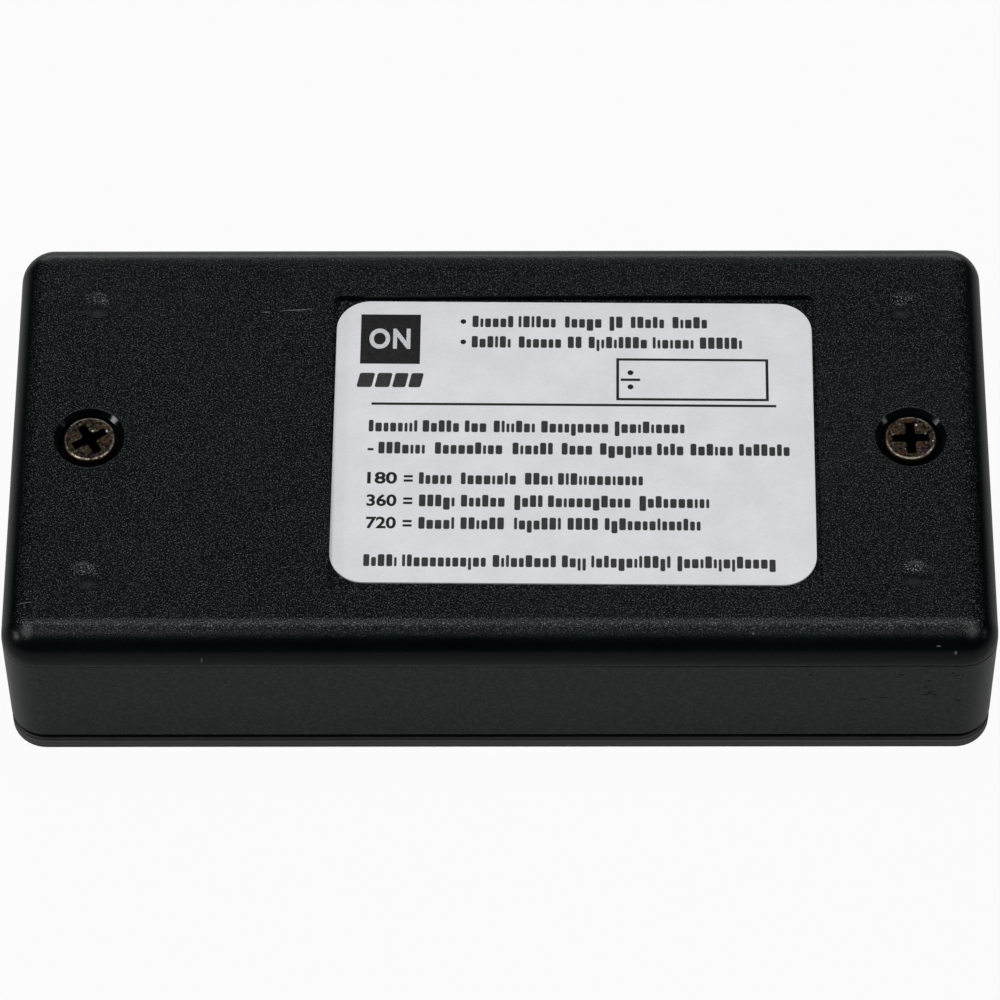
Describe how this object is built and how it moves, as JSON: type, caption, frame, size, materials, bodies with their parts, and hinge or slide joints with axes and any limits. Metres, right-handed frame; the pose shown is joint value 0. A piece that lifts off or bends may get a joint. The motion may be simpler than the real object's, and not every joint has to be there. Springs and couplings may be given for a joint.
{
  "type": "small engine tachometer",
  "caption": "Slim oblong engine tachometer in a grained black case, lying on its display side, with a white label in a recess and screws in sunk wells on its back.",
  "frame": {"origin": "middle of the front face, which the part lies on", "axes": "+X along the length, to the right as the label is read; +Y to the label's top edge; +Z out of the labelled back"},
  "size_m": [0.1, 0.05, 0.02],
  "materials": {
    "case_plastic": "fine sparkle-grained moulded plastic",
    "label_film": "smooth satin film",
    "label_ink": "flat printed ink",
    "screw_steel": "dull plated steel",
    "clear_window": "clear moulded acrylic",
    "adhesive": "soft black foam tape",
    "display_frame": "white moulded plastic",
    "display_glass": "clear flat glass",
    "display_film": "grey polarizing film",
    "reflector_film": "satin silver film",
    "zebra_rubber": "striped silicone",
    "board_laminate": "green solder resist",
    "small_screw_steel": "zinc plated",
    "button_rubber": "satin moulded rubber",
    "switch_plastic": "black moulded plastic",
    "plated_metal": "tin plated",
    "spring_steel": "polished spring steel",
    "holder_plastic": "black moulded plastic",
    "cell_steel": "satin nickel plate",
    "bobbin_plastic": "dark moulded plastic",
    "copper_wire": "enamelled copper",
    "ferrite": "dull sintered ferrite",
    "chip_plastic": "matt moulding compound",
    "capacitor_can": "drawn aluminium",
    "chip_ceramic": "fired ceramic"
  },
  "bodies": {
    "case": {"rear_shell": "case_plastic", "front_cover": "case_plastic", "case_screws": "screw_steel", "instruction_label": "label_film", "label_print": "label_ink", "display_window": "clear_window", "window_adhesive": "adhesive", "lcd_frame": "display_frame", "lcd_front_polarizer": "display_film", "lcd_front_glass": "display_glass", "lcd_rear_glass": "display_glass", "lcd_reflector": "reflector_film", "zebra_strip_upper": "zebra_rubber", "zebra_strip_lower": "zebra_rubber", "circuit_board": "board_laminate", "board_screws": "small_screw_steel", "switch_base": "switch_plastic", "switch_plate": "plated_metal", "snap_dome": "spring_steel", "switch_legs": "plated_metal", "battery_holder": "holder_plastic", "coin_cell": "cell_steel", "battery_clip": "spring_steel", "battery_contact": "spring_steel", "pickup_bobbin": "bobbin_plastic", "pickup_winding": "copper_wire", "pickup_core": "ferrite", "pickup_tabs": "plated_metal", "microcontroller": "chip_plastic", "controller_leads": "plated_metal", "quartz_crystal": "cell_steel", "filter_capacitor": "capacitor_can", "chip_resistors": "chip_ceramic", "chip_capacitors": "chip_ceramic"},
    "button": {"on_button": "button_rubber", "switch_plunger": "switch_plastic"}
  },
  "joints": [
    {"name": "button_press", "type": "slide", "parent": "case", "child": "button", "axis": [0, 0, 1], "range_m": [0, 0.0003], "stiffness_N_per_m": 800, "deforming": ["snap_dome"]}
  ]
}
